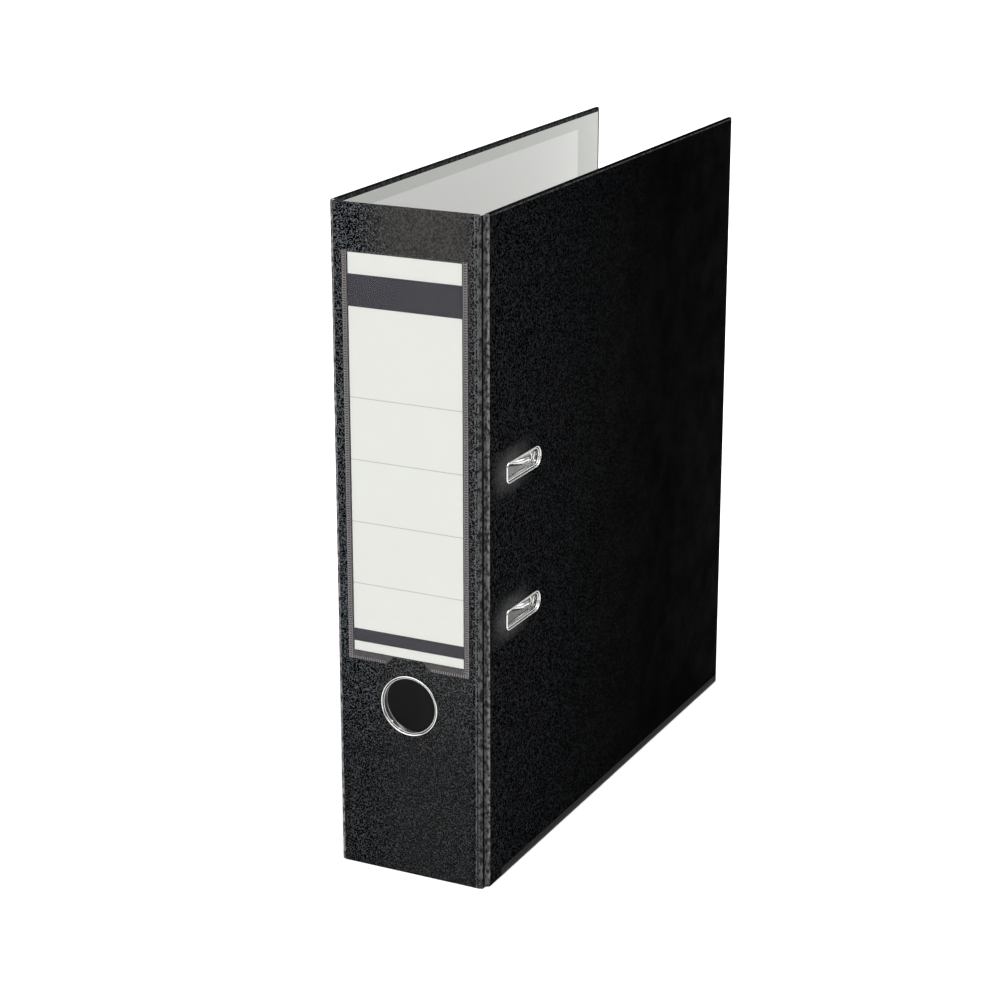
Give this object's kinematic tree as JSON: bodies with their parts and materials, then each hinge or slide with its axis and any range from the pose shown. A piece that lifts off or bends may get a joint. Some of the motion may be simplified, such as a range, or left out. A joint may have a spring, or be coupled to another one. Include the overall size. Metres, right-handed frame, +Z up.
{
  "type": "lever arch file",
  "caption": "Tall lever arch file: two hinged covers on a spine with a label pocket and finger hole, and a lever-worked arch mechanism on filing posts inside.",
  "frame": {"origin": "under the middle of the standing, closed file, on the surface it stands on", "axes": "+Z up the standing file, +X across the spine towards the front cover, +Y from the label side into the file's depth, towards the fore edge"},
  "size_m": [0.08, 0.29, 0.318],
  "materials": {
    "covering": "black grained plastic foil",
    "board": "grey board",
    "lining": "light grey lining paper, smooth",
    "hinge": "black foil, scored at the fold",
    "chrome": "bright nickel plate",
    "plated_steel": "nickel-plated pressed steel",
    "spring_steel": "blued spring steel",
    "edge_metal": "thin galvanised strip",
    "clear_film": "clear soft film, welded",
    "label": "white card with a printed form",
    "black_plastic": "moulded"
  },
  "bodies": {
    "spine": {"spine_board": "board", "spine_covering": "covering", "spine_lining": "lining", "front_hinge_strip": "hinge", "back_hinge_strip": "hinge", "finger_ring": "chrome", "finger_ring_washer": "chrome", "label_pocket": "clear_film"},
    "label": {"label_card": "label"},
    "front_cover": {"front_board": "board", "front_covering": "covering", "front_lining": "lining", "upper_slot_eyelet": "chrome", "lower_slot_eyelet": "chrome", "front_edge_protector": "edge_metal"},
    "back_cover": {"back_board": "board", "back_covering": "covering", "back_lining": "lining", "back_edge_protector": "edge_metal", "base_plate": "plated_steel", "base_plate_rivets": "chrome", "upper_post": "chrome", "lower_post": "chrome", "lever_pin": "plated_steel", "opening_spring": "spring_steel", "spring_rivet": "plated_steel"},
    "arches": {"arch_rod": "chrome", "upper_arch": "chrome", "lower_arch": "chrome", "arch_crank": "plated_steel"},
    "lever": {"lever": "plated_steel", "roller_pin": "plated_steel"},
    "roller": {"roller": "black_plastic"},
    "compressor": {"compressor_bar": "plated_steel", "compressor_bushes": "black_plastic"}
  },
  "joints": [
    {"name": "front_cover_hinge", "type": "hinge", "parent": "spine", "child": "front_cover", "pos_m": [0.03775, -0.1425, 0.159], "axis": [0, 0, -1], "range_deg": [0, 180]},
    {"name": "back_cover_hinge", "type": "hinge", "parent": "spine", "child": "back_cover", "pos_m": [-0.03775, -0.1425, 0.159], "axis": [0, 0, 1], "range_deg": [0, 90]},
    {"name": "label_slide", "type": "slide", "parent": "spine", "child": "label", "axis": [0, 0, 1], "range_m": [0, 0.195]},
    {"name": "lever_hinge", "type": "hinge", "parent": "back_cover", "child": "lever", "pos_m": [-0.0268, -0.0942, 0.1602], "axis": [0, 0, 1], "range_deg": [0, 60]},
    {"name": "arch_hinge", "type": "hinge", "parent": "back_cover", "child": "arches", "pos_m": [-0.0318, -0.1052, 0.1602], "axis": [0, 0, -1], "range_deg": [0, 33]},
    {"name": "roller_spin", "type": "hinge", "parent": "lever", "child": "roller", "pos_m": [-0.0278, -0.1007, 0.1602], "axis": [0, 0, 1], "continuous": true},
    {"name": "compressor_slide", "type": "slide", "parent": "back_cover", "child": "compressor", "axis": [1, 0, 0], "range_m": [0, 0.036]}
  ],
  "couplings": [
    {"joint": "arch_hinge", "follows": "lever_hinge", "ratio": 0.55}
  ]
}
